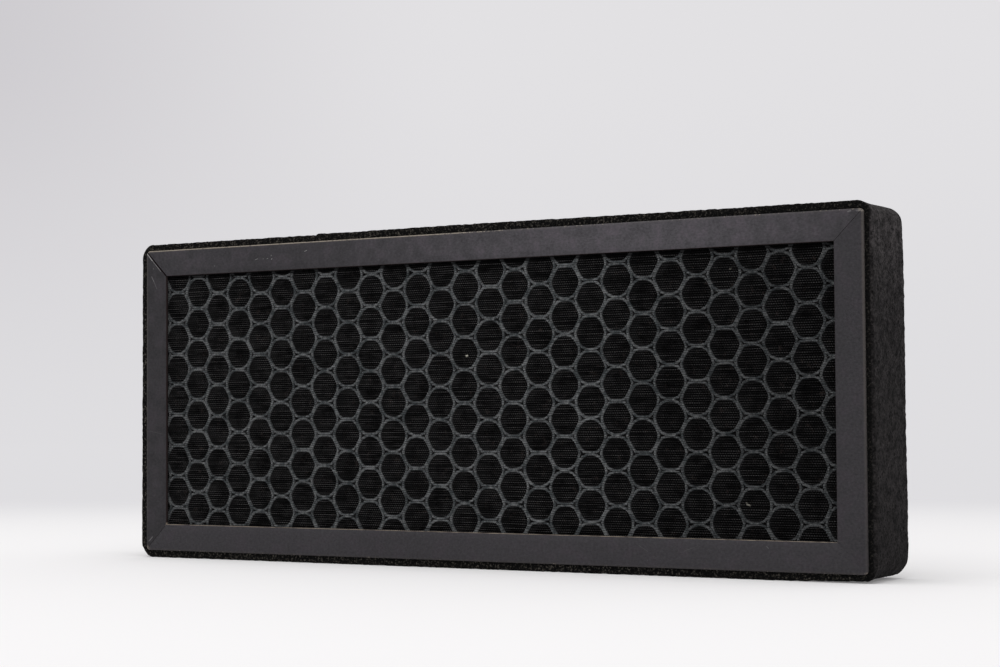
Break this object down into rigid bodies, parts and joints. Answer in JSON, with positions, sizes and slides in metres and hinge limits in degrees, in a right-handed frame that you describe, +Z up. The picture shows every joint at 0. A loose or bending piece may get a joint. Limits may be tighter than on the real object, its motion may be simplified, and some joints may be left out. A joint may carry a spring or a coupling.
{
  "type": "air purifier filter",
  "caption": "Rectangular honeycomb carbon filter cartridge in a folded card frame with mesh faces and a foam seal round its edge.",
  "frame": {"origin": "under the middle of the filter, on the surface that it stands on", "axes": "+X along the filter's length, +Z up, the front face towards -Y"},
  "size_m": [0.2068, 0.02, 0.0833],
  "materials": {
    "card": "dark grey paperboard, matt, pale where its folds are worn",
    "foam": "black open-pored soft foam",
    "tube_plastic": "translucent grey-white fused plastic tubes",
    "carbon": "broken black carbon granules",
    "mesh": "fine black woven mesh"
  },
  "bodies": {
    "root": {"card_frame": "card", "foam_strip": "foam", "honeycomb_core": "tube_plastic", "carbon_granules": "carbon", "front_mesh": "mesh", "back_mesh": "mesh"}
  },
  "joints": []
}
